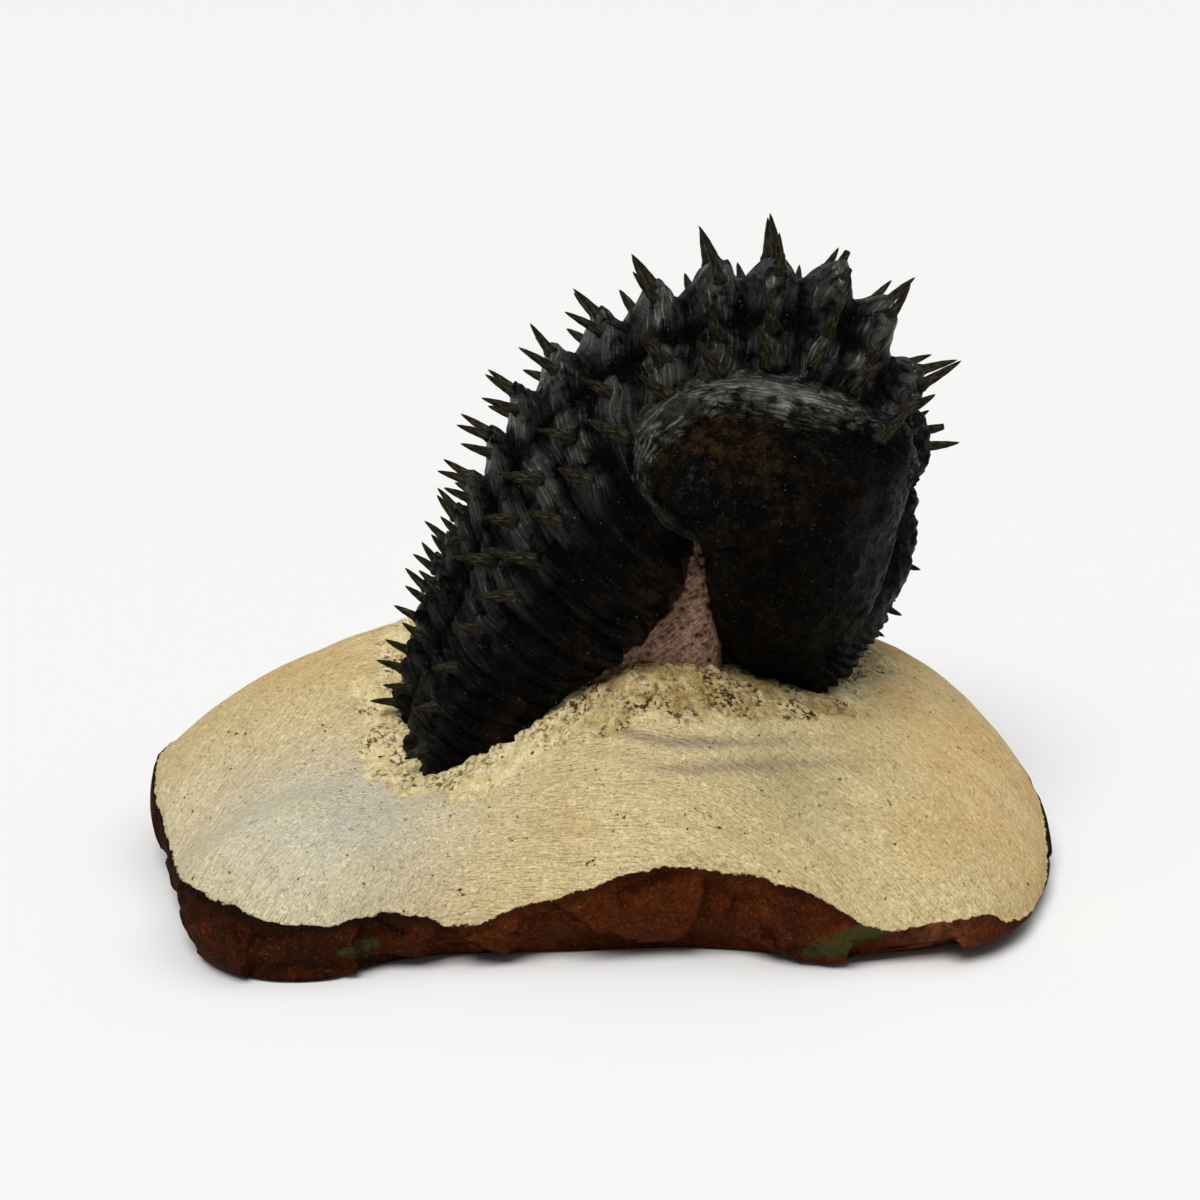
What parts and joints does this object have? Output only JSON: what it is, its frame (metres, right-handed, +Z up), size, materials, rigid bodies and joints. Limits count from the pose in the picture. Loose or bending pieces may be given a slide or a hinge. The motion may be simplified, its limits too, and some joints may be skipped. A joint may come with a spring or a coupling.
{
  "type": "trilobite fossil",
  "caption": "Spiny trilobite arched nose to tail over a rounded mound of pale limestone with a broken dark rim and a flat underside.",
  "frame": {"origin": "middle of the bounding box in X and Y, on the flat underside of the stone in Z", "axes": "+X along the stone's long side towards the trilobite's head, -Y out of the side that the animal's right flank faces, +Z up"},
  "size_m": [0.108, 0.086, 0.0764],
  "materials": {
    "limestone": "matt cream limestone, scratched by preparation tools, with a dark red-brown broken rim",
    "fossil_shell": "near-black mineral shell with a low gloss, fine striations and a mottled brown cheek"
  },
  "bodies": {
    "root": {"matrix_stone": "limestone", "cephalon": "fossil_shell", "thorax_segment_01": "fossil_shell", "thorax_segment_02": "fossil_shell", "thorax_segment_03": "fossil_shell", "thorax_segment_04": "fossil_shell", "thorax_segment_05": "fossil_shell", "thorax_segment_06": "fossil_shell", "thorax_segment_07": "fossil_shell", "thorax_segment_08": "fossil_shell", "thorax_segment_09": "fossil_shell", "thorax_segment_10": "fossil_shell", "thorax_segment_11": "fossil_shell", "pygidium": "fossil_shell"}
  },
  "joints": []
}
